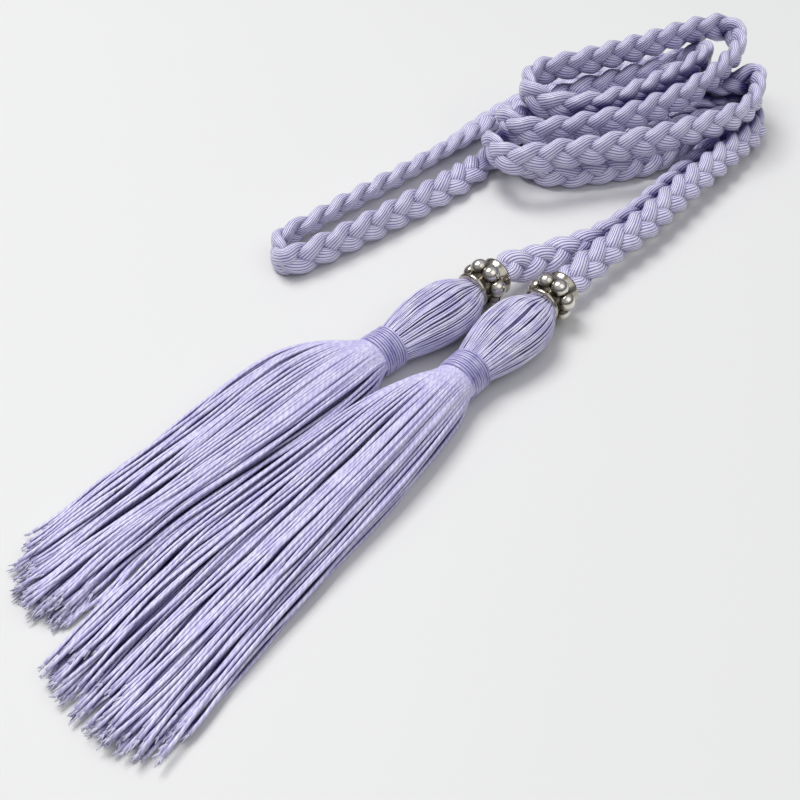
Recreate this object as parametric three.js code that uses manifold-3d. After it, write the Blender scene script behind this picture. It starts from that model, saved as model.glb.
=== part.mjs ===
import * as THREE from 'three';
import Module from 'manifold-3d';

// Tassel belt, lying as it was photographed: a braid folded in half, wound into a
// loose coil, with a bead and a tassel on each end. Millimetres, +Z up, and the
// tassels point along -X.

// Braid
const BRAID_WIDTH = 7.8;
const BRAID_THICKNESS = 4.4;
const BRAID_PITCH = 7.6;
const SCALLOP = 0.35;
const CREST = 0.2;

// Beads
const BEAD_DIAMETER = 12.6;
const BEAD_LENGTH = 9.6;
const BEAD_BORE = 6;
const BEAD_RIM_DIAMETER = 9.4;
const BEAD_WAIST_DIAMETER = 8.6;
const BEAD_BUMPS = 7;
const BUMP_DIAMETER = 4.4;

// Tassels
const HEAD_LENGTH = 25.5;
const HEAD_WIDTH = 16.4;
const HEAD_HEIGHT = 12.2;
const WRAP_LENGTH = 6.6;
const WRAP_DIAMETER = 10.4;
const WRAP_BORE = 8.4;
const WRAP_TURNS = 6;
const WRAP_GROOVE = 0.25;
const FRONT_SKIRT_LENGTH = 100;
const REAR_SKIRT_LENGTH = 87;
const SKIRT_SPREAD = 30;
const SKIRT_DEPTH = 10.4;
const SKIRT_LOCKS = 9;
const LOCK_NOTCH = 7;

// Fits and the part's place
const CLEARANCE = 0.3;
const DRILL_OVERRUN = 1;
const TURN = -45;
const CENTRE = [150.63, 129.07];

// The braid's hand-chosen route, from the fold to each bead. Each point has x and y
// in mm, the height as a share of the braid's width, and the lean in degrees: 0
// stands on its edge and 90 lies flat, turned about the way that the braid runs.
const REAR_FOLD = [
  [-30.8, 206.7, 0.56, 0], [-29.9, 211.9, 0.56, -15], [-25.6, 216.4, 0.55, -28],
  [-14.8, 227.4, 0.54, -30], [0, 241.8, 0.53, -32], [14.5, 257.9, 0.46, -50],
  [25.6, 271.8, 0.38, -75], [35.6, 282.7, 0.31, -90], [45.1, 290.9, 0.31, -90],
  [55.9, 297.5, 0.35, -85], [64.9, 299.7, 0.55, -70], [76.4, 300.5, 0.9, -45],
];
const TOP_TURN = [
  [87.5, 296, 1.42, -25], [91.3, 292.3, 1.8, -10], [91.8, 287, 2.2, 0],
  [87.6, 277.5, 2.56, 0], [80.8, 270.5, 2.5, -5], [74.2, 265.5, 2.44, -10],
  [64.6, 259, 2.38, -10], [55.7, 254.9, 2.32, -10], [47.4, 254.6, 2.26, -10],
  [40.5, 256.4, 2.31, -5], [36.6, 260.3, 2.44, 0], [36.5, 266.1, 2.47, 0],
  [39.6, 271.5, 2.47, 0], [52.6, 276.5, 2.56, 0], [71.6, 285.6, 2.63, 0],
  [91.3, 295.3, 2.74, 0], [100.1, 297.8, 2.65, 0], [102.6, 292.5, 2.56, 0],
];
const SECOND_TURN = [
  [100.2, 284.3, 2.5, 0], [94.9, 276.4, 2.44, 0], [88.8, 269.2, 2.35, 0],
  [81.1, 262.8, 2.22, -5], [73.4, 258.2, 2.09, -10], [61.1, 251.4, 2.02, -10],
  [49.6, 248, 1.96, -10], [39.7, 245.5, 1.96, -10], [32.4, 246.5, 1.96, -5],
  [29.3, 252.8, 1.9, 5], [31, 255.5, 1.7, 45], [36.8, 261, 1.51, 88],
  [46.5, 269.8, 1.52, 70], [57.5, 276.3, 1.53, 15], [69, 281.6, 1.57, 8],
  [79, 284.6, 1.58, 20], [88.5, 280, 1.52, 88], [98, 279.2, 1.54, 70],
];
const THIRD_TURN = [
  [106, 280.5, 1.67, 15], [105.8, 275.3, 1.71, 0], [100.6, 263, 1.73, -5],
  [93.3, 256.2, 1.73, -10], [83.6, 250.7, 1.73, -15], [70.6, 244.9, 1.73, -15],
  [54.4, 240.5, 1.67, -15], [43.8, 238, 1.67, -15], [33.8, 235.4, 1.67, -15],
  [28.3, 236.8, 1.6, -10], [25.6, 243.4, 1.49, 10], [26.2, 249.6, 1.14, 40],
  [31.3, 255, 0.94, 78], [38.5, 259.4, 0.9, 88], [46, 261.8, 0.87, 75],
  [55, 263.2, 0.62, 25], [66, 265.6, 0.56, 15], [75, 269, 0.72, 45],
  [83.5, 272.8, 0.91, 85], [92, 276.7, 0.91, 88], [99.5, 279, 0.77, 65],
];
const TO_FRONT_BEAD = [
  [105.5, 277, 0.59, 15], [106, 267.4, 0.62, -25], [95.4, 252.8, 0.8, -40],
  [78, 232.5, 0.86, -45], [62.6, 214.1, 0.86, -45], [53.6, 205, 0.84, -45],
];
const FRONT_FOLD = [
  [-28.8, 201.7, 0.56, 8], [-24.7, 203.4, 0.56, 12], [-14.2, 211.4, 0.56, 12],
  [0, 223.6, 0.56, 20], [14, 237.2, 0.51, 45], [25.9, 252.8, 0.32, 88],
  [36, 263, 0.31, 90], [45, 273, 0.31, 90], [52.1, 283.8, 0.34, 85],
  [66, 290.2, 0.36, 80], [74, 289.5, 0.34, 85], [82, 289, 0.31, 90],
];
const BOTTOM_TURN = [
  [88, 284.5, 0.31, 90], [90, 277, 0.31, 90], [88.5, 269, 0.31, 90],
  [83.5, 262, 0.31, 90], [77.5, 256, 0.31, 90], [72, 251.2, 0.4, 110],
  [66.5, 247.6, 0.54, 150], [60.5, 245.2, 0.56, 168], [54, 243.6, 0.56, 170],
  [46, 242.3, 0.56, 170], [38.5, 244, 0.56, 175], [35.5, 248.5, 0.56, 180],
  [38.5, 252.4, 0.56, 180], [46, 254.2, 0.56, 180], [55, 255.6, 0.56, 190],
  [63, 257, 0.67, 225], [71, 258.8, 0.91, 265], [79, 261.3, 0.91, 270],
  [87, 264.8, 0.91, 268], [94, 268.6, 0.77, 240],
];
const TO_REAR_BEAD = [
  [98.2, 268.3, 0.62, 205], [96, 262, 0.56, 165], [89.3, 254, 0.52, 145],
  [75, 236.3, 0.53, 138], [61, 219.6, 0.53, 135], [50, 210, 0.54, 135],
  [40.5, 205, 0.56, 135], [32.6, 200.2, 0.64, 135],
];

// Each tassel: its bead's centre in mm, the braid's lean there, and the headings of
// the head and of the skirt in degrees
const TASSELS = {
  front: { x: 35.9, y: 185.1, lean: -45, heading: 229.5, skirtHeading: 231.8 },
  rear: { x: 20.3, y: 190.4, lean: 135, heading: 223.7, skirtHeading: 224.6 },
};

// Width of each skirt to its outer and inner side and its height along its length, as
// shares of SKIRT_SPREAD / 2 and SKIRT_DEPTH
const SKIRT_TABLE = [
  { along: 0.02, frontOuter: 0.34, frontInner: 0.38, rearOuter: 0.42, rearInner: 0.32, height: 0.96 },
  { along: 0.08, frontOuter: 0.4, frontInner: 0.62, rearOuter: 0.84, rearInner: 0.42, height: 1.0 },
  { along: 0.2, frontOuter: 0.48, frontInner: 0.82, rearOuter: 1.14, rearInner: 0.46, height: 0.95 },
  { along: 0.36, frontOuter: 0.54, frontInner: 0.94, rearOuter: 1.16, rearInner: 0.46, height: 0.82 },
  { along: 0.55, frontOuter: 0.58, frontInner: 1.1, rearOuter: 1.04, rearInner: 0.4, height: 0.68 },
  { along: 0.72, frontOuter: 0.62, frontInner: 1.24, rearOuter: 0.96, rearInner: 0.34, height: 0.54 },
  { along: 0.87, frontOuter: 0.7, frontInner: 1.22, rearOuter: 0.9, rearInner: 0.42, height: 0.42 },
  { along: 1.0, frontOuter: 0.78, frontInner: 1.12, rearOuter: 0.8, rearInner: 0.62, height: 0.3 },
];

// Half size of a head along its length, as a share of its greatest
const HEAD_TABLE = [
  { along: 0.03, size: 0.52 }, { along: 0.1, size: 0.74 }, { along: 0.22, size: 0.93 },
  { along: 0.38, size: 1.0 }, { along: 0.58, size: 0.95 }, { along: 0.78, size: 0.8 },
  { along: 0.96, size: 0.63 },
];

const radians = THREE.MathUtils.degToRad;

// One closed body through rings of points, each end closed on its middle
function loft(rings) {
  const count = rings[0].length;
  const points = rings.flat();
  const index = [];
  for (let r = 0; r + 1 < rings.length; r++) {
    for (let k = 0; k < count; k++) {
      const a = r * count + k;
      const b = r * count + (k + 1) % count;
      index.push(a, b, b + count, a, b + count, a + count);
    }
  }
  for (const [start, flip] of [[0, true], [(rings.length - 1) * count, false]]) {
    const middle = points.slice(start, start + count)
      .reduce((sum, p) => sum.add(p), new THREE.Vector3()).divideScalar(count);
    points.push(middle);
    for (let k = 0; k < count; k++) {
      const a = start + k;
      const b = start + (k + 1) % count;
      index.push(...(flip ? [b, a, points.length - 1] : [a, b, points.length - 1]));
    }
  }
  const geometry = new THREE.BufferGeometry().setFromPoints(points);
  geometry.setIndex(index);
  return geometry;
}

// The braid's way straight into a bead and to its middle
function braidEnd({ x, y, lean, heading }) {
  const rise = BEAD_DIAMETER / 2 / BRAID_WIDTH;
  return [0.9, 0.45, 0].map((back) => [
    x - back * BEAD_LENGTH * Math.cos(radians(heading)),
    y - back * BEAD_LENGTH * Math.sin(radians(heading)), rise, lean,
  ]);
}

// The whole run from the rear bead over the fold to the front bead; the half that is
// run backwards leans the other way
function braidRoute() {
  const toRear = [...FRONT_FOLD, ...BOTTOM_TURN, ...TO_REAR_BEAD,
    ...braidEnd(TASSELS.rear)];
  const backwards = toRear.reverse().map(([x, y, rise, lean]) => [x, y, rise, -lean]);
  const toFront = [...REAR_FOLD, ...TOP_TURN, ...SECOND_TURN, ...THIRD_TURN,
    ...TO_FRONT_BEAD, ...braidEnd(TASSELS.front)];
  return [...backwards, ...toFront];
}

// The lean at a share of the route, in an even turn from point to point
function leanAt(route, share) {
  const place = share * (route.length - 1);
  const i = Math.min(Math.floor(place), route.length - 2);
  return THREE.MathUtils.lerp(route[i][3], route[i + 1][3], place - i);
}

// The braid as one woven band: eight-sided sections whose edges and faces swell in
// turn as the strands cross, and both ends drawn in to pass into the beads
function braidGeometry() {
  const route = braidRoute();
  const points = route.map(([x, y, rise]) => new THREE.Vector3(x, y, rise * BRAID_WIDTH));
  const curve = new THREE.CatmullRomCurve3(points, false, 'centripetal');
  curve.arcLengthDivisions = 4000;
  const length = curve.getLength();
  const stopShort = CLEARANCE / 2;
  const count = 2 * Math.round(length / BRAID_PITCH);
  const neck = BEAD_BORE / 2 - CLEARANCE;
  const rings = [];
  for (let i = 0; i <= count; i++) {
    const at = THREE.MathUtils.lerp(stopShort, length - stopShort, i / count);
    const share = curve.getUtoTmapping(at / length);
    const tangent = curve.getTangent(share);
    const up = new THREE.Vector3(0, 0, 1).addScaledVector(tangent, -tangent.z).normalize();
    const side = new THREE.Vector3().crossVectors(up, tangent);
    const lean = radians(leanAt(route, share));
    const wide = up.multiplyScalar(Math.cos(lean)).addScaledVector(side, Math.sin(lean));
    const thick = new THREE.Vector3().crossVectors(tangent, wide);
    const sign = i % 2 ? -1 : 1;
    const toEnd = Math.min(at, length - at);
    const full = THREE.MathUtils.smoothstep(toEnd, BEAD_LENGTH / 2 + CLEARANCE, BEAD_LENGTH);
    const section = [
      [1, 0.42], [0.6, 1], [-0.6, 1], [-1, 0.42],
      [-1, -0.42], [-0.6, -1], [0.6, -1], [1, -0.42],
    ];
    rings.push(section.map(([w, t], k) => {
      const turn = (k + 0.5) * Math.PI / 4;
      const shift = Math.abs(w) === 1 ? sign * SCALLOP : 0;
      const crest = Math.abs(t) === 1 ? Math.sign(t) * Math.sign(w) * sign * CREST : 0;
      const across = w * BRAID_WIDTH / 2 + shift;
      const through = t * BRAID_THICKNESS / 2 + crest;
      const point = curve.getPoint(share)
        .addScaledVector(wide, THREE.MathUtils.lerp(neck * Math.cos(turn), across, full))
        .addScaledVector(thick, THREE.MathUtils.lerp(neck * Math.sin(turn), through, full));
      return point.setZ(Math.max(point.z, 0));
    }));
  }
  return loft(rings);
}

// Moves a shape built along +X from a bead's centre to its tassel
function place(geometry, tassel, heading, start = 0) {
  const bead = radians(tassel.heading);
  geometry.rotateZ(radians(heading));
  geometry.translate(tassel.x + start * Math.cos(bead), tassel.y + start * Math.sin(bead), 0);
  return geometry;
}

function lathe(profile, segments, height) {
  const outline = profile.map(([r, along]) => new THREE.Vector2(r, along));
  if (profile[0][0] > 0) outline.push(outline[0].clone());
  const geometry = new THREE.LatheGeometry(outline, segments);
  geometry.rotateZ(-Math.PI / 2);
  geometry.translate(0, 0, height);
  return geometry;
}

function toManifold(wasm, geometry) {
  const plain = new THREE.BufferGeometry();
  plain.setAttribute('position', geometry.getAttribute('position').clone());
  plain.setIndex(geometry.getIndex().clone());
  const merged = mergeByPlace(plain);
  return new wasm.Manifold(new wasm.Mesh({
    numProp: 3,
    vertProperties: merged.positions,
    triVerts: merged.triangles,
  }));
}

// Joins points that lie at one place and drops the faces that this closes up
function mergeByPlace(geometry) {
  const position = geometry.getAttribute('position');
  const index = geometry.getIndex();
  const seen = new Map();
  const map = [];
  const positions = [];
  for (let i = 0; i < position.count; i++) {
    const key = [position.getX(i), position.getY(i), position.getZ(i)]
      .map((value) => Math.round(value * 1e4)).join();
    if (!seen.has(key)) {
      seen.set(key, positions.length / 3);
      positions.push(position.getX(i), position.getY(i), position.getZ(i));
    }
    map.push(seen.get(key));
  }
  const triangles = [];
  for (let i = 0; i < index.count; i += 3) {
    const [a, b, c] = [map[index.getX(i)], map[index.getX(i + 1)], map[index.getX(i + 2)]];
    if (a !== b && b !== c && a !== c) triangles.push(a, b, c);
  }
  return { positions: new Float32Array(positions), triangles: new Uint32Array(triangles) };
}

function fromManifold(solid) {
  const mesh = solid.getMesh();
  const geometry = new THREE.BufferGeometry();
  geometry.setAttribute('position', new THREE.BufferAttribute(
    new Float32Array(mesh.vertProperties), 3));
  geometry.setIndex(new THREE.BufferAttribute(new Uint32Array(mesh.triVerts), 1));
  return geometry;
}

// A bored barrel with a flared rim at each end and a row of round bumps
function beadGeometry(wasm) {
  const half = BEAD_LENGTH / 2;
  const bore = BEAD_BORE / 2;
  const rim = BEAD_RIM_DIAMETER / 2;
  const waist = BEAD_WAIST_DIAMETER / 2;
  const barrel = lathe([
    [0, -half], [rim * 0.97, -half], [rim, -half * 0.85], [waist, -half * 0.6],
    [waist, half * 0.6], [rim, half * 0.85], [rim * 0.97, half], [0, half],
  ], 20, BEAD_DIAMETER / 2);
  let solid = toManifold(wasm, barrel);
  const orbit = BEAD_DIAMETER / 2 - BUMP_DIAMETER / 2;
  for (let i = 0; i < BEAD_BUMPS; i++) {
    const turn = i / BEAD_BUMPS * 2 * Math.PI;
    const bump = new THREE.SphereGeometry(BUMP_DIAMETER / 2, 8, 6);
    bump.translate(0, orbit * Math.sin(turn), BEAD_DIAMETER / 2 - orbit * Math.cos(turn));
    solid = solid.add(toManifold(wasm, bump));
  }
  const hole = new THREE.CylinderGeometry(bore, bore, BEAD_LENGTH + 2 * DRILL_OVERRUN, 20);
  hole.rotateZ(-Math.PI / 2);
  hole.translate(0, 0, BEAD_DIAMETER / 2);
  return fromManifold(solid.subtract(toManifold(wasm, hole)));
}

// Height of the tassel's middle between the bead and the wrap
function headAxis(along) {
  const share = THREE.MathUtils.clamp(along / wrapMiddle(), 0, 1);
  return THREE.MathUtils.lerp(BEAD_DIAMETER / 2, WRAP_DIAMETER / 2, share);
}

function wrapMiddle() {
  return BEAD_LENGTH / 2 + HEAD_LENGTH + WRAP_LENGTH / 2;
}

function ring(along, halfWidth, halfHeight, middle, segments, ribs = 0) {
  return Array.from({ length: segments }, (_, k) => {
    const turn = k / segments * 2 * Math.PI;
    const size = 1 + (k % 2 ? -ribs : ribs);
    return new THREE.Vector3(along, halfWidth * size * Math.cos(turn),
      middle + halfHeight * size * Math.sin(turn));
  });
}

// The bulb of threads, its necks held in the bead's bore and in the wrap
function headGeometry() {
  const start = BEAD_LENGTH / 2;
  const beadNeck = BEAD_BORE / 2 - CLEARANCE;
  const wrapNeck = WRAP_BORE / 2 - CLEARANCE;
  const segments = 24;
  const rings = [
    ring(CLEARANCE / 2, beadNeck, beadNeck, headAxis(0), segments),
    ring(start, beadNeck, beadNeck, headAxis(start), segments),
  ];
  for (const { along, size } of HEAD_TABLE) {
    const x = start + along * HEAD_LENGTH;
    const tall = Math.min(size * HEAD_HEIGHT / 2, headAxis(x) * 0.98);
    rings.push(ring(x, size * HEAD_WIDTH / 2, tall, headAxis(x), segments, 0.02));
  }
  const end = start + HEAD_LENGTH;
  rings.push(ring(end + CLEARANCE, wrapNeck, wrapNeck, headAxis(end), segments));
  rings.push(ring(wrapMiddle() - CLEARANCE / 2, wrapNeck, wrapNeck, headAxis(end), segments));
  return loft(rings);
}

// The bound thread as a ring with a groove between its turns
function wrapGeometry() {
  const outer = WRAP_DIAMETER / 2;
  const floor = outer - WRAP_GROOVE;
  const from = wrapMiddle() - WRAP_LENGTH / 2 + CLEARANCE;
  const turn = (WRAP_LENGTH - 2 * CLEARANCE) / WRAP_TURNS;
  const profile = [[WRAP_BORE / 2, from]];
  for (let i = 0; i < WRAP_TURNS; i++) {
    profile.push([floor, from + i * turn], [outer, from + (i + 0.5) * turn]);
  }
  profile.push([floor, from + WRAP_TURNS * turn]);
  profile.push([WRAP_BORE / 2, from + WRAP_TURNS * turn]);
  return lathe(profile, 20, WRAP_DIAMETER / 2);
}

// The fan of cords as locks fused side by side: ridges on top, a flat underside on
// the table, and notches between the locks' ends
function skirtGeometry(side, length) {
  const root = WRAP_BORE / 2 - CLEARANCE;
  const middle = WRAP_DIAMETER / 2;
  const segments = 4 * SKIRT_LOCKS;
  const rings = [
    ring(CLEARANCE / 2, root, root, middle, segments),
    ring(WRAP_LENGTH / 2, root, root, middle, segments),
  ];
  const [left, right] = side === 'front' ? ['frontOuter', 'frontInner'] : ['rearInner', 'rearOuter'];
  for (const row of SKIRT_TABLE) {
    const height = row.height * SKIRT_DEPTH;
    rings.push(Array.from({ length: segments }, (_, k) => {
      const turn = k / segments * 2 * Math.PI;
      const across = Math.cos(turn);
      const half = (across > 0 ? row[left] : row[right]) * SKIRT_SPREAD / 2;
      const lock = Math.abs(((turn / Math.PI * SKIRT_LOCKS) % 1) - 0.5) * 2;
      const ridge = Math.sin(turn) > 0 ? 1 - 0.2 * lock * row.along : 1;
      const rise = height * (0.5 + 0.5 * Math.sin(turn)) * ridge;
      const flat = Math.sin(turn) < -0.2 ? 0 : rise;
      const cut = LOCK_NOTCH * lock * row.along ** 6;
      return new THREE.Vector3(WRAP_LENGTH / 2 + row.along * length - cut, across * half, flat);
    }));
  }
  return loft(rings);
}

function cleaned(wasm, geometry) {
  return fromManifold(toManifold(wasm, geometry));
}

function mesh(name, geometry, material) {
  geometry.rotateZ(radians(TURN));
  geometry.translate(-CENTRE[0], -CENTRE[1], 0);
  geometry.computeVertexNormals();
  const result = new THREE.Mesh(geometry, material);
  result.name = name;
  return result;
}

const wasm = await Module();
wasm.setup();

const cord = new THREE.MeshStandardMaterial({ name: 'lilac_cord', color: 0xa89ed8, roughness: 0.5 });
const thread = new THREE.MeshStandardMaterial({ name: 'wrap_thread', color: 0x9890cc, roughness: 0.35 });
const silver = new THREE.MeshStandardMaterial({
  name: 'antique_silver', color: 0x9a958c, roughness: 0.35, metalness: 1,
});

const belt = new THREE.Group();
belt.name = 'tassel_belt';
belt.add(mesh('braid', cleaned(wasm, braidGeometry()), cord));
for (const [side, tassel] of Object.entries(TASSELS)) {
  const length = side === 'front' ? FRONT_SKIRT_LENGTH : REAR_SKIRT_LENGTH;
  const skirt = cleaned(wasm, skirtGeometry(side, length));
  belt.add(
    mesh(`bead_${side}`, place(beadGeometry(wasm), tassel, tassel.heading), silver),
    mesh(`head_${side}`, place(cleaned(wasm, headGeometry()), tassel, tassel.heading), cord),
    mesh(`wrap_${side}`, place(cleaned(wasm, wrapGeometry()), tassel, tassel.heading), thread),
    mesh(`skirt_${side}`, place(skirt, tassel, tassel.skirtHeading, wrapMiddle()), cord),
  );
}

export default belt;
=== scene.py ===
import math

import bmesh
import bpy
import numpy as np
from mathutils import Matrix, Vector


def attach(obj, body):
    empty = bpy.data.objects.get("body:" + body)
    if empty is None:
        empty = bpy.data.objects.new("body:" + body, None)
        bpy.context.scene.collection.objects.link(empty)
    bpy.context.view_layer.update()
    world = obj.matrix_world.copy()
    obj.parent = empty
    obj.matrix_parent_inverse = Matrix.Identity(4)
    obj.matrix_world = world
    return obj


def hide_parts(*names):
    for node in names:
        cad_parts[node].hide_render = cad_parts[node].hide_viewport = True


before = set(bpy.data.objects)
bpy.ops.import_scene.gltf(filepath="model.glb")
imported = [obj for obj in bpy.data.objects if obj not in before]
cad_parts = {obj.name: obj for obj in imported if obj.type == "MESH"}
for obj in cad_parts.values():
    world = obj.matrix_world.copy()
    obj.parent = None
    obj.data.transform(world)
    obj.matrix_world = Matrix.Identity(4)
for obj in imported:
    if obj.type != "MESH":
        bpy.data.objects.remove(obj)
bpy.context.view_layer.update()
noise = np.random.default_rng(7)
scene = bpy.context.scene
MM = 0.001

# Sizes in millimetres, as the frame has them
BRAID_WIDTH = 7.8
BRAID_THICKNESS = 4.4
BRAID_PITCH = 7.6
BEAD_DIAMETER = 12.6
BEAD_LENGTH = 9.6
BEAD_BUMPS = 7
BUMP_DIAMETER = 4.4
HEAD_LENGTH = 25.5
HEAD_WIDTH = 16.4
HEAD_HEIGHT = 12.2
WRAP_LENGTH = 6.6
WRAP_DIAMETER = 10.4
WRAP_MIDDLE = BEAD_LENGTH / 2 + HEAD_LENGTH + WRAP_LENGTH / 2
SKIRT_SPREAD = 30.0
SKIRT_DEPTH = 10.4
TURN = -45
CENTRE = (150.63, 129.07)

# Steps along the braid's smooth curve and along its strands
CURVE_STEP = 0.3
STRAND_STEP = 0.85

# The photo's own camera, in the same millimetres before the turn
CAMERA_HEIGHT = 157.0
CAMERA_PITCH = 45
LENS = 45


def turned(x, y):
    """A point of the photo's ground in the row frame."""
    c, s = math.cos(math.radians(TURN)), math.sin(math.radians(TURN))
    return x * c - y * s - CENTRE[0], x * s + y * c - CENTRE[1]


def make_camera():
    data = bpy.data.cameras.new("camera")
    data.lens = LENS
    data.sensor_width = 36
    data.clip_start = 0.005
    camera = bpy.data.objects.new("camera", data)
    x, y = turned(0, 0)
    camera.location = (x * MM, y * MM, CAMERA_HEIGHT * MM)
    camera.rotation_euler = (math.radians(90 - CAMERA_PITCH), 0, math.radians(TURN))
    scene.collection.objects.link(camera)
    scene.camera = camera


make_camera()

# The braid's route, the same as the frame's: x and y in mm, the height as a share of
# the braid's width, and the lean in degrees
REAR_FOLD = [
    (-30.8, 206.7, 0.56, 0), (-29.9, 211.9, 0.56, -15), (-25.6, 216.4, 0.55, -28),
    (-14.8, 227.4, 0.54, -30), (0, 241.8, 0.53, -32), (14.5, 257.9, 0.46, -50),
    (25.6, 271.8, 0.38, -75), (35.6, 282.7, 0.31, -90), (45.1, 290.9, 0.31, -90),
    (55.9, 297.5, 0.35, -85), (64.9, 299.7, 0.55, -70), (76.4, 300.5, 0.9, -45),
]
TOP_TURN = [
    (87.5, 296, 1.42, -25), (91.3, 292.3, 1.8, -10), (91.8, 287, 2.2, 0),
    (87.6, 277.5, 2.56, 0), (80.8, 270.5, 2.5, -5), (74.2, 265.5, 2.44, -10),
    (64.6, 259, 2.38, -10), (55.7, 254.9, 2.32, -10), (47.4, 254.6, 2.26, -10),
    (40.5, 256.4, 2.31, -5), (36.6, 260.3, 2.44, 0), (36.5, 266.1, 2.47, 0),
    (39.6, 271.5, 2.47, 0), (52.6, 276.5, 2.56, 0), (71.6, 285.6, 2.63, 0),
    (91.3, 295.3, 2.74, 0), (100.1, 297.8, 2.65, 0), (102.6, 292.5, 2.56, 0),
]
SECOND_TURN = [
    (100.2, 284.3, 2.5, 0), (94.9, 276.4, 2.44, 0), (88.8, 269.2, 2.35, 0),
    (81.1, 262.8, 2.22, -5), (73.4, 258.2, 2.09, -10), (61.1, 251.4, 2.02, -10),
    (49.6, 248, 1.96, -10), (39.7, 245.5, 1.96, -10), (32.4, 246.5, 1.96, -5),
    (29.3, 252.8, 1.9, 5), (31, 255.5, 1.7, 45), (36.8, 261, 1.51, 88),
    (46.5, 269.8, 1.52, 70), (57.5, 276.3, 1.53, 15), (69, 281.6, 1.57, 8),
    (79, 284.6, 1.58, 20), (88.5, 280, 1.52, 88), (98, 279.2, 1.54, 70),
]
THIRD_TURN = [
    (106, 280.5, 1.67, 15), (105.8, 275.3, 1.71, 0), (100.6, 263, 1.73, -5),
    (93.3, 256.2, 1.73, -10), (83.6, 250.7, 1.73, -15), (70.6, 244.9, 1.73, -15),
    (54.4, 240.5, 1.67, -15), (43.8, 238, 1.67, -15), (33.8, 235.4, 1.67, -15),
    (28.3, 236.8, 1.6, -10), (25.6, 243.4, 1.49, 10), (26.2, 249.6, 1.14, 40),
    (31.3, 255, 0.94, 78), (38.5, 259.4, 0.9, 88), (46, 261.8, 0.87, 75),
    (55, 263.2, 0.62, 25), (66, 265.6, 0.56, 15), (75, 269, 0.72, 45),
    (83.5, 272.8, 0.91, 85), (92, 276.7, 0.91, 88), (99.5, 279, 0.77, 65),
]
TO_FRONT_BEAD = [
    (105.5, 277, 0.59, 15), (106, 267.4, 0.62, -25), (95.4, 252.8, 0.8, -40),
    (78, 232.5, 0.86, -45), (62.6, 214.1, 0.86, -45), (53.6, 205, 0.84, -45),
]
FRONT_FOLD = [
    (-28.8, 201.7, 0.56, 8), (-24.7, 203.4, 0.56, 12), (-14.2, 211.4, 0.56, 12),
    (0, 223.6, 0.56, 20), (14, 237.2, 0.51, 45), (25.9, 252.8, 0.32, 88),
    (36, 263, 0.31, 90), (45, 273, 0.31, 90), (52.1, 283.8, 0.34, 85),
    (66, 290.2, 0.36, 80), (74, 289.5, 0.34, 85), (82, 289, 0.31, 90),
]
BOTTOM_TURN = [
    (88, 284.5, 0.31, 90), (90, 277, 0.31, 90), (88.5, 269, 0.31, 90),
    (83.5, 262, 0.31, 90), (77.5, 256, 0.31, 90), (72, 251.2, 0.4, 110),
    (66.5, 247.6, 0.54, 150), (60.5, 245.2, 0.56, 168), (54, 243.6, 0.56, 170),
    (46, 242.3, 0.56, 170), (38.5, 244, 0.56, 175), (35.5, 248.5, 0.56, 180),
    (38.5, 252.4, 0.56, 180), (46, 254.2, 0.56, 180), (55, 255.6, 0.56, 190),
    (63, 257, 0.67, 225), (71, 258.8, 0.91, 265), (79, 261.3, 0.91, 270),
    (87, 264.8, 0.91, 268), (94, 268.6, 0.77, 240),
]
TO_REAR_BEAD = [
    (98.2, 268.3, 0.62, 205), (96, 262, 0.56, 165), (89.3, 254, 0.52, 145),
    (75, 236.3, 0.53, 138), (61, 219.6, 0.53, 135), (50, 210, 0.54, 135),
    (40.5, 205, 0.56, 135), (32.6, 200.2, 0.64, 135),
]

# Each tassel: its bead's centre, the braid's lean there, the headings of the head and
# of the skirt in degrees, and the length of its cords in mm
TASSELS = {
    "front": dict(x=35.9, y=185.1, lean=-45, heading=229.5, skirt=231.8, length=100),
    "rear": dict(x=20.3, y=190.4, lean=135, heading=223.7, skirt=224.6, length=87),
}


def braid_end(tassel):
    """The braid's way straight into a bead and to its middle."""
    angle = math.radians(tassel["heading"])
    rows = []
    for back in (0.9, 0.45, 0):
        x = tassel["x"] - back * BEAD_LENGTH * math.cos(angle)
        y = tassel["y"] - back * BEAD_LENGTH * math.sin(angle)
        rows.append((x, y, BEAD_DIAMETER / 2 / BRAID_WIDTH, tassel["lean"]))
    return rows


def catmull(rows, step):
    """A centripetal curve through the rows, one row of numbers every step or so."""
    p = np.array(rows, float)
    p = np.vstack([2 * p[0] - p[1], p, 2 * p[-1] - p[-2]])
    out = []
    for i in range(1, len(p) - 2):
        a, b, c, d = p[i - 1:i + 3]
        gap = [max(np.linalg.norm(q[:3] - r[:3]), 1e-6) ** 0.5
               for q, r in ((b, a), (c, b), (d, c))]
        t0, t1, t2, t3 = np.cumsum([0] + gap)
        count = max(2, int(np.linalg.norm(c[:3] - b[:3]) / step))
        for t in np.linspace(t1, t2, count, endpoint=False):
            ab = ((t1 - t) * a + (t - t0) * b) / (t1 - t0)
            bc = ((t2 - t) * b + (t - t1) * c) / (t2 - t1)
            cd = ((t3 - t) * c + (t - t2) * d) / (t3 - t2)
            abc = ((t2 - t) * ab + (t - t0) * bc) / (t2 - t0)
            bcd = ((t3 - t) * bc + (t - t1) * cd) / (t3 - t1)
            out.append(((t2 - t) * abc + (t - t1) * bcd) / (t2 - t1))
    out.append(p[-2])
    return np.array(out)


def unit(rows):
    return rows / np.linalg.norm(rows, axis=1)[:, None]


def smoothed(values, span=5):
    return np.convolve(np.pad(values, span // 2, mode="edge"), np.ones(span) / span, mode="valid")


def ring_turns(sides):
    """The angles of a ring's points."""
    return np.linspace(0, 2 * np.pi, sides, endpoint=False)


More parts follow.
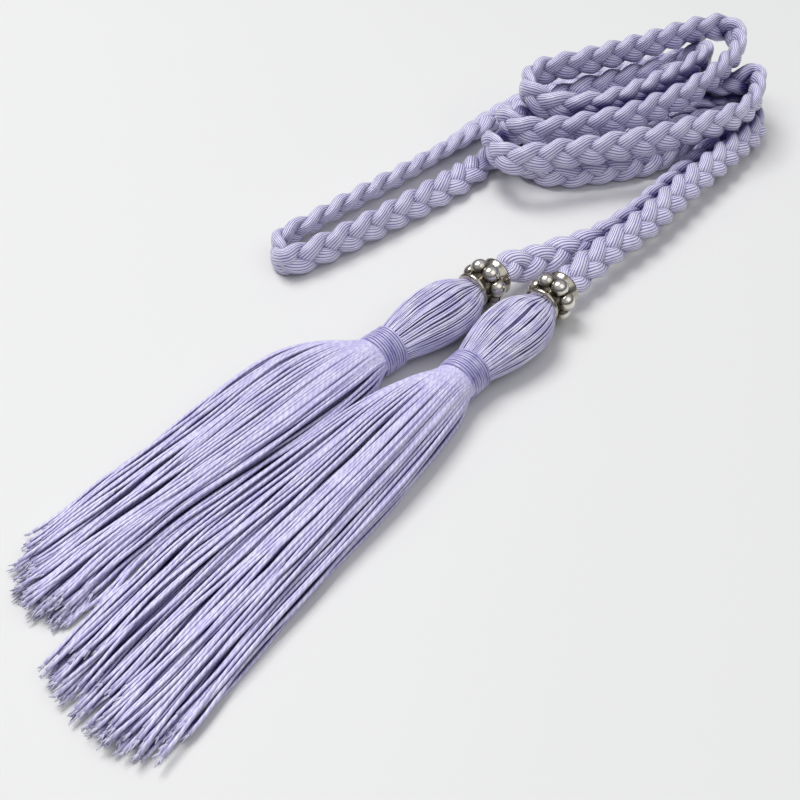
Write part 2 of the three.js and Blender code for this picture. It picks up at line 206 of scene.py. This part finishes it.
def braid_line(step):
    """The braid's middle from the rear bead to the front one, in mm in the row frame:
    points, the directions across the width and through the thickness, and distance."""
    to_rear = FRONT_FOLD + BOTTOM_TURN + TO_REAR_BEAD + braid_end(TASSELS["rear"])
    backwards = [(x, y, rise, -lean) for x, y, rise, lean in reversed(to_rear)]
    to_front = REAR_FOLD + TOP_TURN + SECOND_TURN + THIRD_TURN + TO_FRONT_BEAD
    rows = []
    for x, y, rise, lean in backwards + to_front + braid_end(TASSELS["front"]):
        rows.append((*turned(x, y), rise * BRAID_WIDTH, lean))
    fine = catmull(rows, CURVE_STEP)
    far = np.concatenate([[0], np.cumsum(np.linalg.norm(np.diff(fine[:, :3], axis=0), axis=1))])
    at = np.linspace(0, far[-1], int(far[-1] / step) + 1)
    line = np.column_stack([np.interp(at, far, fine[:, k]) for k in range(4)])
    lean = smoothed(np.radians(line[:, 3]), 9)
    along = unit(np.gradient(line[:, :3], axis=0))
    up = unit(np.array([0, 0, 1.0]) - along * along[:, 2:3])
    side = np.cross(up, along)
    wide = np.cos(lean)[:, None] * up + np.sin(lean)[:, None] * side
    return line[:, :3], wide, np.cross(along, wide), at


def build(name, points, faces, uvs=None, material=None):
    """A smooth mesh from points in mm, with uvs given for each point of each face."""
    mesh = bpy.data.meshes.new(name)
    mesh.from_pydata((np.asarray(points) * MM).tolist(), [], faces)
    if uvs is not None:
        layer = mesh.uv_layers.new(name="UVMap")
        layer.data.foreach_set("uv", np.asarray(uvs, dtype=np.float32).ravel())
    mesh.polygons.foreach_set("use_smooth", [True] * len(mesh.polygons))
    mesh.update()
    if material:
        mesh.materials.append(material)
    obj = bpy.data.objects.new(name, mesh)
    scene.collection.objects.link(obj)
    return obj


def tube_faces(rows, sides, first=0):
    """Faces and uvs of a closed tube of rows of points: u round it, v along it."""
    faces, uvs = [], []
    for r in range(rows - 1):
        for k in range(sides):
            j = (k + 1) % sides
            a = first + r * sides
            faces.append((a + k, a + j, a + sides + j, a + sides + k))
            u0, u1 = k / sides, (k + 1) / sides
            uvs += [(u0, r), (u1, r), (u1, r + 1), (u0, r + 1)]
    for r, order in ((0, -1), (rows - 1, 1)):
        ring = [first + r * sides + k for k in range(sides)][::order]
        faces.append(tuple(ring))
        uvs += [(0, r)] * sides
    return faces, uvs


class Bundle:
    """Collects many tubes into one mesh."""

    def __init__(self):
        self.points, self.faces, self.uvs, self.count = [], [], [], 0

    def tube(self, rings, length, offset=0.0):
        """rings is rows x sides x 3 in mm; u and v start at offset, and v runs in mm."""
        rows, sides = rings.shape[:2]
        faces, uvs = tube_faces(rows, sides, self.count)
        scale = np.array([1.0, length / (rows - 1)])
        self.points.append(rings.reshape(-1, 3))
        self.faces += faces
        self.uvs.append(np.array(uvs) * scale + offset)
        self.count += rows * sides

    def object(self, name, material):
        return build(name, np.vstack(self.points), self.faces, np.vstack(self.uvs), material)


def frames(line):
    """Two directions square to a line that mostly runs level, at each of its points."""
    along = unit(np.gradient(line, axis=0))
    side = unit(np.cross([0, 0, 1.0], along))
    return side, np.cross(along, side)


def oval_rings(line, half_width, half_height, sides):
    """Rings of a tube round a line, with its own half sizes at each point."""
    side, up = frames(line)
    turn = ring_turns(sides)
    a = half_width[:, None] * np.cos(turn)
    b = half_height[:, None] * np.sin(turn)
    return line[:, None] + a[..., None] * side[:, None] + b[..., None] * up[:, None]


def round_rings(line, radius, sides):
    radius = np.broadcast_to(radius, len(line))
    return oval_rings(line, radius, radius, sides)


# Materials

BLACK = (0, 0, 0)
WHITE = (1, 1, 1)

# Sockets of a colour mix node, which share their names with those of other kinds
MIX_A, MIX_B, MIX_RESULT = 6, 7, 2


def new_material(name):
    mat = bpy.data.materials.new(name)
    mat.use_nodes = True
    tree = mat.node_tree
    return mat, tree, tree.nodes["Principled BSDF"]


def math_node(tree, operation, a, b=None):
    node = tree.nodes.new("ShaderNodeMath")
    node.operation = operation
    for i, value in enumerate((a, b)):
        if value is None:
            continue
        if isinstance(value, (int, float)):
            node.inputs[i].default_value = value
        else:
            tree.links.new(value, node.inputs[i])
    return node.outputs[0]


def scaled(tree, value, factor):
    return math_node(tree, "MULTIPLY", value, factor)


def ramp_node(tree, value, stops):
    node = tree.nodes.new("ShaderNodeValToRGB")
    tree.links.new(value, node.inputs[0])
    elements = node.color_ramp.elements
    while len(elements) < len(stops):
        elements.new(0.5)
    for element, (place, colour) in zip(elements, stops):
        element.position = place
        element.color = (*colour, 1)
    return node.outputs[0]


def noise_node(tree, place, scale, detail):
    node = tree.nodes.new("ShaderNodeTexNoise")
    node.inputs["Scale"].default_value = scale
    node.inputs["Detail"].default_value = detail
    tree.links.new(place, node.inputs["Vector"])
    return node.outputs[0]


def object_place(tree):
    return tree.nodes.new("ShaderNodeTexCoord").outputs["Object"]


def bump_node(tree, shader, height, strength, depth):
    """A bump of a depth in mm on the shader."""
    node = tree.nodes.new("ShaderNodeBump")
    node.inputs["Strength"].default_value = strength
    node.inputs["Distance"].default_value = depth * MM
    tree.links.new(height, node.inputs["Height"])
    tree.links.new(node.outputs[0], shader.inputs["Normal"])


def painted_shade_mask(tree, reach, closed, opened):
    """0 in a gap that is closed to that share within reach in mm, and 1 where open: the mask of a
    painted shade.
    """
    node = tree.nodes.new("ShaderNodeAmbientOcclusion")
    node.samples = 6
    node.only_local = True
    node.inputs["Distance"].default_value = reach * MM
    return ramp_node(tree, node.outputs["AO"], [(closed, BLACK), (opened, WHITE)])


def thread_material(name, around, slant, tones, bump=0.5, rough=0.42, depth=0.5, reach=7.0,
                    shade=(0.3, 0.85)):
    """Silky threads: around of them side by side round a strand, slanted by slant
    turns a mm, with a groove between each two, a slow change of tone, painted shade
    in the grooves, a painted highlight on the crests, and a deep violet painted shade
    where the strands close on each other."""
    mat, tree, shader = new_material(name)
    uv = tree.nodes.new("ShaderNodeUVMap")
    uv.uv_map = "UVMap"
    split = tree.nodes.new("ShaderNodeSeparateXYZ")
    tree.links.new(uv.outputs[0], split.inputs[0])
    turn = scaled(tree, split.outputs[0], float(around))
    turn = math_node(tree, "ADD", turn, scaled(tree, split.outputs[1], slant * around))
    drift = noise_node(tree, uv.outputs[0], 0.8, 1)
    turn = math_node(tree, "ADD", turn, scaled(tree, drift, THREAD_DRIFT * around))
    wave = math_node(tree, "SINE", scaled(tree, turn, 2 * math.pi))
    height = math_node(tree, "ADD", scaled(tree, wave, 0.5), 0.5)
    height = math_node(tree, "POWER", height, 0.5)
    tone = noise_node(tree, object_place(tree), 300, 3)
    mix = math_node(tree, "ADD", scaled(tree, height, depth), scaled(tree, tone, 1 - depth))
    # Painted shade in the grooves and a painted highlight on the crests, mixed with a random tone
    colour = ramp_node(tree, mix, list(zip((0.14, 0.45, 0.76), tones)))
    # Painted shade: a deep violet where the strands close on each other
    shaded = tree.nodes.new("ShaderNodeMix")
    shaded.data_type = "RGBA"
    shaded.inputs[MIX_A].default_value = (*PAINTED_SHADE, 1)
    tree.links.new(painted_shade_mask(tree, reach, *shade), shaded.inputs[0])
    tree.links.new(colour, shaded.inputs[MIX_B])
    tree.links.new(shaded.outputs[MIX_RESULT], shader.inputs["Base Color"])
    bump_node(tree, shader, height, bump, 0.12)
    shader.inputs["Roughness"].default_value = rough
    shader.inputs["Sheen Weight"].default_value = 0.25
    shader.inputs["Sheen Roughness"].default_value = 0.4
    shader.inputs["Specular IOR Level"].default_value = 0.7
    return mat


def silver_material():
    """Cast metal, darkened by painted shade where its parts close on each other, lighter on open
    faces and bright with wear on its edges, with a random grime tone.
    """
    mat, tree, shader = new_material("antique_silver")
    grime = noise_node(tree, object_place(tree), 520, 4)
    point = tree.nodes.new("ShaderNodeNewGeometry")
    edge = ramp_node(tree, point.outputs["Pointiness"], [(0.44, BLACK), (0.55, WHITE)])
    # Painted shade where the parts close on each other, plus wear on the edges and a random grime
    # tone
    wear_and_painted_shade = math_node(tree, "ADD", scaled(tree, painted_shade_mask(tree, 3.0, 0.4, 0.97), 0.6),
                     scaled(tree, edge, 0.15))
    wear_and_painted_shade = math_node(tree, "ADD", wear_and_painted_shade, scaled(tree, grime, 0.3))
    colour = ramp_node(tree, wear_and_painted_shade, [(0.25, (0.03, 0.025, 0.015)), (0.66, (0.3, 0.27, 0.21)),
                                    (0.95, (0.92, 0.89, 0.82))])
    tree.links.new(colour, shader.inputs["Base Color"])
    shader.inputs["Metallic"].default_value = 1
    rough = math_node(tree, "ADD", scaled(tree, grime, 0.16), 0.1)
    tree.links.new(rough, shader.inputs["Roughness"])
    bump_node(tree, shader, grime, 0.25, 0.1)
    return mat


# Drift of the threads' lines, as a share of their number round a strand
THREAD_DRIFT = 0.01

# Colours of the thread, from the gaps to the lit crests: a painted shade where
# strands close on each other, a deep tone that is also painted shade in the grooves,
# its own lilac, and a pale tone that is also a painted highlight on the crests
PAINTED_SHADE = (0.03, 0.018, 0.18)
DEEP_TONE_AND_SHADE = (0.09, 0.06, 0.35)
LILAC = (0.42, 0.38, 0.71)
PALE_TONE_AND_HIGHLIGHT = (0.86, 0.84, 0.97)
braid_mat = thread_material(
    "braid_strands", 20, 0.012, (DEEP_TONE_AND_SHADE, LILAC, PALE_TONE_AND_HIGHLIGHT), bump=1.0, rough=0.28, depth=0.66,
    reach=5.0, shade=(0.46, 0.97))
head_mat = thread_material(
    "head_threads", 2, 0.05, (LILAC, (0.6, 0.57, 0.83), PALE_TONE_AND_HIGHLIGHT), bump=0.15, rough=0.4,
    depth=0.1, reach=1.8)
cord_mat = thread_material(
    "skirt_cords", 2, 0.3, ((0.46, 0.42, 0.74), (0.55, 0.51, 0.8), (0.76, 0.74, 0.92)),
    bump=0.3, rough=0.36, depth=0.3, reach=2.6, shade=(0.2, 0.75))
wrap_mat = thread_material(
    "wrap_thread", 2, 0.1, (DEEP_TONE_AND_SHADE, (0.44, 0.41, 0.7), (0.68, 0.66, 0.88)), bump=0.15,
    rough=0.26, depth=0.1, reach=1.5)
# Painted shade: a dark violet for the cores that show between threads
painted_shade_core_mat = thread_material(
    "dark_core_painted_shade", 2, 0.3, (PAINTED_SHADE, (0.08, 0.06, 0.32), (0.12, 0.1, 0.4)))
fray_mat = thread_material(
    "frayed_ends", 2, 0.3, ((0.5, 0.48, 0.72), (0.66, 0.64, 0.84), (0.8, 0.79, 0.93)),
    reach=1.5)
silver_mat = silver_material()


# Braid: three flat strands that cross in turn, drawn together where they enter a bead

STRAND_HALF_WIDTH = 2.3
STRAND_HALF_THICKNESS = 1.45
STRAND_SIDES = 16
STRAND_SWELL = 0.06
STRAND_SHIFT = 0.37
SCALLOP = 0.35
CREST = 0.15
DRAW_IN = 4.5
TABLE_GAP = 0.05

# Size, spread and lift of the strands in a bead, as shares of those in the open
NECK_SIZE = 0.62
NECK_SPREAD = 0.36
NECK_LIFT = 0.6


def blunted(values, power=0.85):
    """Pushes a ring's points out towards a box, for a flatter strand."""
    return np.sign(values) * np.abs(values) ** power


def make_braid():
    """The braid, and its middle line and length in mm."""
    line, wide, thick, at = braid_line(STRAND_STEP)
    length = at[-1]
    to_end = np.minimum(at, length - at)
    full = np.clip((to_end - BEAD_LENGTH / 2) / DRAW_IN, 0, 1)
    full = full * full * (3 - 2 * full)
    swing = BRAID_WIDTH / 2 + SCALLOP - STRAND_HALF_WIDTH
    lift = BRAID_THICKNESS / 2 + CREST - STRAND_HALF_THICKNESS
    bundle = Bundle()
    turn = ring_turns(STRAND_SIDES)
    for strand in range(3):
        phase = 2 * np.pi * (at / (3 * BRAID_PITCH) + strand / 3)
        across = swing * np.sin(phase) * (full + (1 - full) * NECK_SPREAD)
        through = lift * np.sin(2 * phase) * (full + (1 - full) * NECK_LIFT)
        centre = line + across[:, None] * wide + through[:, None] * thick
        way = unit(np.gradient(centre, axis=0))
        out = unit(thick - (thick * way).sum(1)[:, None] * way)
        flat = np.cross(out, way)
        size = full + (1 - full) * NECK_SIZE
        swell = 1 + STRAND_SWELL * np.cos(4 * phase)
        a = blunted(np.cos(turn))[None] * STRAND_HALF_WIDTH * (size * swell)[:, None]
        b = blunted(np.sin(turn))[None] * STRAND_HALF_THICKNESS * size[:, None]
        rings = centre[:, None] + a[..., None] * flat[:, None] + b[..., None] * out[:, None]
        rings[..., 2] = np.maximum(rings[..., 2], TABLE_GAP)
        bundle.tube(rings, length, strand * STRAND_SHIFT)
    braid = bundle.object("woven_braid", braid_mat)
    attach(braid, "root")
    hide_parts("braid")
    return braid, line, length


def tassel_frame(tassel, start=0.0, heading=None):
    """Matrix from a shape along +X to the tassel, in mm in the row frame."""
    bead = math.radians(tassel["heading"])
    x, y = turned(tassel["x"] + start * math.cos(bead), tassel["y"] + start * math.sin(bead))
    angle = math.radians((heading or tassel["heading"]) + TURN)
    return np.array([[math.cos(angle), -math.sin(angle), 0, x],
                     [math.sin(angle), math.cos(angle), 0, y], [0, 0, 1, 0]])


def moved(points, matrix):
    return np.asarray(points) @ matrix[:, :3].T + matrix[:, 3]


# Beads: a bored barrel with flared rims, and round bumps that stand half in it

BEAD_SEGMENTS = 64
BUMP_STRETCH = 1.06

# Radius of the barrel and inset from its end over a rim, and radius and distance from
# the middle over the waist
BEAD_RIM = [(3.0, 0), (3.7, -0.05), (4.4, 0.1), (4.7, 0.5), (4.55, 1.0), (4.2, 1.5)]
BEAD_WAIST = [(4.1, -1.9), (4.3, 0), (4.1, 1.9)]
BEAD_INSIDE = [(2.95, 0)]


def make_bead(side, tassel):
    """A barrel turned round the braid's end, and its row of bumps."""
    half = BEAD_LENGTH / 2
    near = [(radius, -half + inset) for radius, inset in BEAD_RIM]
    far = [(radius, half - inset) for radius, inset in reversed(BEAD_RIM)]
    profile = near + BEAD_WAIST + far + BEAD_INSIDE
    middle = BEAD_DIAMETER / 2
    points, faces = [], []
    for turn in ring_turns(BEAD_SEGMENTS):
        points += [(x, r * math.sin(turn), middle - r * math.cos(turn)) for r, x in profile]
    n = len(profile)
    for k in range(BEAD_SEGMENTS):
        for i in range(n):
            a, b = k * n + i, k * n + (i + 1) % n
            c, d = (b + n) % (BEAD_SEGMENTS * n), (a + n) % (BEAD_SEGMENTS * n)
            faces.append((a, b, c, d))
    orbit = (BEAD_DIAMETER - BUMP_DIAMETER) / 2
    for turn in ring_turns(BEAD_BUMPS):
        ball = bmesh.new()
        bmesh.ops.create_uvsphere(ball, u_segments=28, v_segments=18, radius=BUMP_DIAMETER / 2)
        first = len(points)
        y, z = orbit * math.sin(turn), middle - orbit * math.cos(turn)
        points += [(v.co.x * BUMP_STRETCH, y + v.co.y, z + v.co.z) for v in ball.verts]
        ball.verts.index_update()
        faces += [tuple(first + v.index for v in f.verts) for f in ball.faces]
        ball.free()
    bead = build(f"silver_bead_{side}", moved(points, tassel_frame(tassel)), faces,
                 material=silver_mat)
    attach(bead, "root")
    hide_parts(f"bead_{side}")


# Heads: a dark core, painted shade between the threads, and two layers of fine
# threads over it, from the bead to the wrap.
# Each layer has its number of threads and its depth under the surface.

HEAD_ALONG = [0, 0.06, 0.13, 0.25, 0.4, 0.59, 0.78, 0.94, 1]
HEAD_SIZE = [0.44, 0.54, 0.75, 0.93, 1.0, 0.95, 0.8, 0.64, 0.58]
HEAD_LAYERS = ((100, 0.75), (150, 0.2))
HEAD_LOCKS = 16
HEAD_TUCK = 1.2
HEAD_OVERLAP = 2.0
HEAD_ROWS = 26
HEAD_LIFT = 0.97
THREAD_SIDES = 6
CORE_INSET = 0.9
CORE_SIDES = 32


def head_axis(along):
    """Height of a tassel's middle between the bead and the wrap."""
    share = np.clip(np.asarray(along) / WRAP_MIDDLE, 0, 1)
    return BEAD_DIAMETER / 2 + (WRAP_DIAMETER / 2 - BEAD_DIAMETER / 2) * share


def wander(t, low, high):
    """A wave along t with a drawn number of turns and a drawn start."""
    return np.sin(2 * math.pi * (t * noise.uniform(low, high) + noise.random()))


def make_head(side, tassel):
    """Threads that swell out between the bead and the wrap, over their core."""
    t = np.linspace(0, 1, HEAD_ROWS)
    size = smoothed(np.interp(t, HEAD_ALONG, HEAD_SIZE))
    x = BEAD_LENGTH / 2 - HEAD_TUCK + t * (HEAD_LENGTH + HEAD_OVERLAP)
    mid = head_axis(x)
    half_width = size * HEAD_WIDTH / 2
    half_height = np.minimum(size * HEAD_HEIGHT / 2, mid * HEAD_LIFT)
    matrix = tassel_frame(tassel)
    bundle = Bundle()
    for count, inset in HEAD_LAYERS:
        for k in range(count):
            turn = 2 * math.pi * (k + noise.uniform(-0.35, 0.35)) / count
            drift = noise.normal(0, 0.05) * np.sin(math.pi * t) + noise.normal(0, 0.07) * (t - 0.5)
            angle = turn + 0.5 * math.sin(turn * HEAD_LOCKS) / HEAD_LOCKS + drift
            depth = inset + 0.13 * wander(t, 0.5, 1.4)
            wide = np.maximum(half_width - depth, 0.6)
            tall = np.maximum(half_height - depth, 0.6)
            line = np.column_stack([x, wide * np.cos(angle), mid + tall * np.sin(angle)])
            thin = 0.12 + 0.1 * size
            rings = round_rings(moved(line, matrix), thin, THREAD_SIDES)
            bundle.tube(rings, HEAD_LENGTH, noise.random())
    threads = bundle.object(f"head_threads_{side}", head_mat)
    core = Bundle()
    axis = moved(np.column_stack([x, 0 * x, mid]), matrix)
    core.tube(oval_rings(axis, np.maximum(half_width - CORE_INSET, 0.8),
                         np.maximum(half_height - CORE_INSET, 0.8), CORE_SIDES), HEAD_LENGTH)
    core_obj = core.object(f"head_core_{side}", painted_shade_core_mat)
    for piece in (threads, core_obj):
        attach(piece, "root")
    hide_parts(f"head_{side}")


# Wraps: one thread wound side by side, over the neck

WINDING_TURNS = 9
WINDING_THICKNESS = 0.7
WINDING_STEPS = 40
WINDING_SIDES = 10

# Way once round the wrap, in whole millimetres
WINDING_ROUND = 33


def make_wrap(side, tassel):
    """The wound thread, and the neck under it."""
    matrix = tassel_frame(tassel)
    t = np.linspace(0, WINDING_TURNS, WINDING_TURNS * WINDING_STEPS + 1)
    radius = WRAP_DIAMETER / 2 - WINDING_THICKNESS / 2 + 0.06 * np.sin(t * 2.1)
    x = WRAP_MIDDLE + (t / WINDING_TURNS - 0.5) * (WRAP_LENGTH - WINDING_THICKNESS)
    angle = 2 * np.pi * t
    mid = WRAP_DIAMETER / 2
    line = np.column_stack([x, radius * np.sin(angle), mid - radius * np.cos(angle)])
    out = np.column_stack([0 * x, np.sin(angle), -np.cos(angle)])
    turn = ring_turns(WINDING_SIDES)
    half_width = (WRAP_LENGTH - WINDING_THICKNESS) / WINDING_TURNS / 2
    level = (half_width * np.cos(turn))[None, :, None] * np.array([1.0, 0, 0])
    upright = (WINDING_THICKNESS / 2 * np.sin(turn))[None, :, None] * out[:, None]
    rings = line[:, None] + level + upright
    bundle = Bundle()
    bundle.tube(moved(rings.reshape(-1, 3), matrix).reshape(rings.shape),
                WINDING_TURNS * WINDING_ROUND)
    winding = bundle.object(f"wound_thread_{side}", wrap_mat)
    # The neck under the winding is dark, as painted shade between its turns
    neck = Bundle()
    axis = moved([(WRAP_MIDDLE - WRAP_LENGTH / 2 + 0.3, 0, mid), (WRAP_MIDDLE, 0, mid),
                  (WRAP_MIDDLE + WRAP_LENGTH / 2 - 1.2, 0, mid)], matrix)
    neck.tube(round_rings(axis, WRAP_DIAMETER / 2 - 0.5, CORE_SIDES), WRAP_LENGTH)
    under = neck.object(f"wrap_core_{side}", painted_shade_core_mat)
    for piece in (winding, under):
        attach(piece, "root")
    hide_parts(f"wrap_{side}")


# Skirts: loose two-ply cords in a fan that flattens towards its ends

# Half widths to the left and to the right of the way that each skirt runs, and the
# height, along its length, as shares of SKIRT_SPREAD / 2 and SKIRT_DEPTH
SKIRT_ALONG = [0.0, 0.02, 0.08, 0.2, 0.36, 0.55, 0.72, 0.87, 1.0]
SKIRT_HALF = {
    "front": ([0.32, 0.34, 0.4, 0.48, 0.54, 0.58, 0.62, 0.7, 0.78],
              [0.34, 0.38, 0.62, 0.82, 0.94, 1.1, 1.24, 1.22, 1.12]),
    "rear": ([0.3, 0.32, 0.42, 0.46, 0.46, 0.4, 0.34, 0.42, 0.62],
             [0.38, 0.42, 0.84, 1.14, 1.16, 1.04, 0.96, 0.9, 0.8]),
}
SKIRT_TALL = [0.92, 0.96, 1.0, 0.95, 0.82, 0.68, 0.54, 0.42, 0.3]
SKIRT_LOCKS = 9
SKIRT_TUCK = 2.2
SKIRT_ROWS = 44
CORD_RADIUS = 0.43

# Number of cords in each layer, and its height as a share of the skirt's
CORD_LAYERS = ((44, 0.02), (48, 0.3), (52, 0.62), (58, 0.97))
ROOT_HALF_WIDTH = 4.5
ROOT_HALF_HEIGHT = 4.4
STRAY_CORDS = 0.2
FRAYS = 4
FRAY_RADII = np.array([0.26, 0.22, 0.12])


def make_fray(fray, line):
    """Short loose ends that carry a cord on past its tip."""
    tip = line[-1]
    way = tip - line[-2]
    way = way / np.linalg.norm(way)
    for _ in range(FRAYS):
        spread = way + noise.normal(0, 0.2, 3)
        spread[2] *= 0.5
        far = noise.uniform(0.7, 1.7)
        bit = tip + np.outer(np.linspace(-0.4, far, 3), spread)
        bit[:, 2] = np.maximum(bit[:, 2], 0.25)
        fray.tube(round_rings(bit, FRAY_RADII, 4), far)


def make_skirt(side, tassel):
    """Cords that leave the wrap as a round bundle and open into a fan of locks."""
    matrix = tassel_frame(tassel, WRAP_MIDDLE, tassel["skirt"])
    t = np.linspace(0, 1, SKIRT_ROWS)
    left, right = [smoothed(np.interp(t, SKIRT_ALONG, row)) * SKIRT_SPREAD / 2
                   for row in SKIRT_HALF[side]]
    tall = smoothed(np.interp(t, SKIRT_ALONG, SKIRT_TALL)) * SKIRT_DEPTH
    root = np.clip(1 - t / 0.1, 0, 1) ** 2
    gather = np.clip(t / 0.3, 0, 1) * 0.8 / (math.pi * SKIRT_LOCKS)
    bundle, fray = Bundle(), Bundle()
    for count, level in CORD_LAYERS:
        for k in range(count):
            place = float(np.clip((k + noise.uniform(-0.4, 0.4)) / (count - 1) * 2 - 1, -1, 1))
            edge = math.sqrt(max(0.0, 1 - place * place))
            short = 0.1 if place < 0 and side == "rear" else 0.03
            reach = SKIRT_TUCK + tassel["length"] * (1 + noise.uniform(-0.08, 0.01)
                                                     - short * place ** 2)
            x = WRAP_LENGTH / 2 - SKIRT_TUCK + t * reach
            share = place + gather * math.sin(math.pi * SKIRT_LOCKS * place)
            y = share * (np.where(share > 0, left, right) - CORD_RADIUS)
            y = y + noise.normal(0, 0.8) * np.sin(math.pi * t) + noise.normal(0, 1.0) * t ** 2
            if noise.random() < STRAY_CORDS:
                y = y + noise.normal(0, 2.8) * t * (1 - place * place)
            y = y + 0.45 * wander(t, 1.5, 3.5) * t
            z = CORD_RADIUS + (tall - 2 * CORD_RADIUS) * level * (0.4 + 0.6 * edge)
            z = z - 0.44 * level * np.cos(math.pi * SKIRT_LOCKS * share) * np.clip(t * 4, 0, 1)
            z = z + 0.3 * level * wander(t, 0.6, 1.8) * t
            turn = place * math.pi / 2
            root_y = ROOT_HALF_WIDTH * math.sqrt(level * 0.8 + 0.2) * math.sin(turn)
            root_z = WRAP_DIAMETER / 2 + ROOT_HALF_HEIGHT * (2 * level - 1) * math.cos(turn)
            y = y * (1 - root) + root_y * root
            z = np.maximum(z * (1 - root) + root_z * root, CORD_RADIUS)
            line = moved(np.column_stack([x, y, z]), matrix)
            bundle.tube(round_rings(line, CORD_RADIUS, THREAD_SIDES), reach, noise.random())
            make_fray(fray, line)
    cords = bundle.object(f"skirt_cords_{side}", cord_mat)
    ends = fray.object(f"frayed_ends_{side}", fray_mat)
    for piece in (cords, ends):
        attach(piece, "root")
    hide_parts(f"skirt_{side}")


# The belt: the braid is one limp cord that carries the beads and heads on its ends

braid, braid_middle, braid_length = make_braid()
for side, tassel in TASSELS.items():
    make_bead(side, tassel)
    make_head(side, tassel)
    make_wrap(side, tassel)
    make_skirt(side, tassel)


# Studio: a pale floor that runs far back, two soft lights and a room that is pale above

FLOOR_HALF = 4.0
LIGHT_AIM = (20, 190, 0)


def make_floor():
    mesh = bpy.data.meshes.new("floor")
    corners = [(x * FLOOR_HALF, y * FLOOR_HALF, 0) for x, y in ((-1, -1), (1, -1), (1, 1), (-1, 1))]
    mesh.from_pydata(corners, [], [(0, 1, 2, 3)])
    floor = bpy.data.objects.new("floor", mesh)
    scene.collection.objects.link(floor)
    mat, _, shader = new_material("pale_table")
    shader.inputs["Base Color"].default_value = (0.73, 0.73, 0.715, 1)
    shader.inputs["Roughness"].default_value = 0.6
    mesh.materials.append(mat)


def make_room():
    world = bpy.data.worlds.new("room")
    world.use_nodes = True
    tree = world.node_tree
    way = tree.nodes.new("ShaderNodeTexCoord")
    split = tree.nodes.new("ShaderNodeSeparateXYZ")
    tree.links.new(way.outputs[0], split.inputs[0])
    sky = ramp_node(tree, split.outputs[2], [(0.0, (0.2, 0.2, 0.22)), (0.3, (0.35, 0.35, 0.38)),
                                             (0.6, (0.93, 0.94, 1))])
    background = tree.nodes["Background"]
    tree.links.new(sky, background.inputs["Color"])
    background.inputs["Strength"].default_value = 0.5
    scene.world = world


def area_light(name, place, size, watts):
    """A square light at a place in mm in the photo's ground, turned to LIGHT_AIM."""
    data = bpy.data.lights.new(name, "AREA")
    data.size = size
    data.energy = watts
    light = bpy.data.objects.new(name, data)
    light.location = Vector((*turned(*place[:2]), place[2])) * MM
    aim = Vector((*turned(*LIGHT_AIM[:2]), LIGHT_AIM[2])) * MM
    light.rotation_euler = (aim - light.location).to_track_quat("-Z", "Y").to_euler()
    scene.collection.objects.link(light)


make_floor()
make_room()
area_light("key", (-520, 620, 1380), 0.8, 18.0)
area_light("fill", (420, -60, 700), 0.7, 1.2)
scene.view_settings.view_transform = "Standard"
